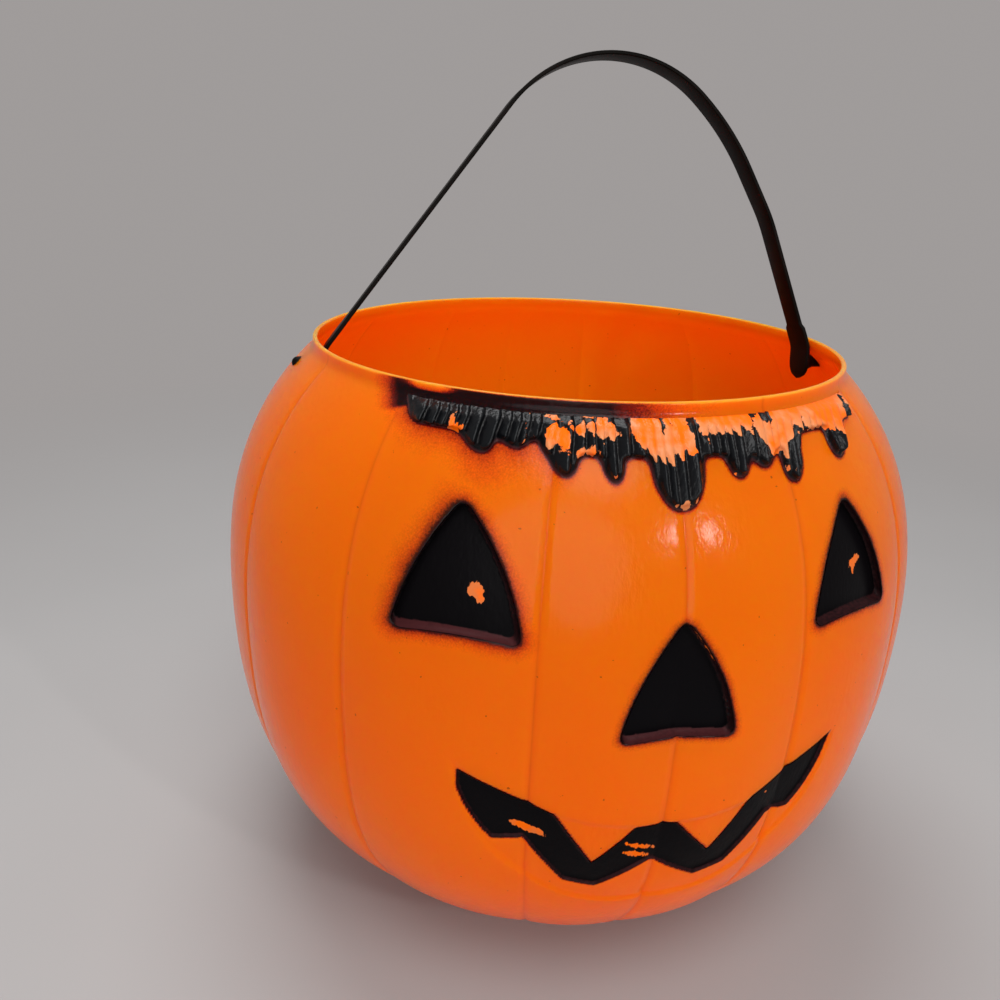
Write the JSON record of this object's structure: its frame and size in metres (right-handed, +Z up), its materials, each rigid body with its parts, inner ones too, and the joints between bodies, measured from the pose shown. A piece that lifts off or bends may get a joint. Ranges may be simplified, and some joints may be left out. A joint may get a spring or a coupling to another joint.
{
  "type": "candy pail",
  "caption": "Pumpkin-shaped open pail with lobed walls, a recessed jack-o'-lantern face under a fringe of raised hair, and a flat strap handle that swings on side studs.",
  "frame": {"origin": "middle of the base ring, on the surface that the pail stands on", "axes": "+Z up, +X along the handle's swing axis, the face looks along -Y"},
  "size_m": [0.2164, 0.2151, 0.2597],
  "materials": {
    "shell": "satin orange polyethylene, slightly translucent",
    "strap": "satin black polyethylene",
    "paint": "sprayed black gloss paint, worn"
  },
  "bodies": {
    "pail": {"pail_shell": "shell", "left_eye_paint": "paint", "right_eye_paint": "paint", "nose_paint": "paint", "mouth_paint": "paint", "hair_paint": "paint"},
    "handle": {"handle_strap": "strap"}
  },
  "joints": [
    {"name": "handle_swing", "type": "hinge", "parent": "pail", "child": "handle", "pos_m": [0, 0, 0.169], "axis": [1, 0, 0], "range_deg": [-68, 85]}
  ]
}
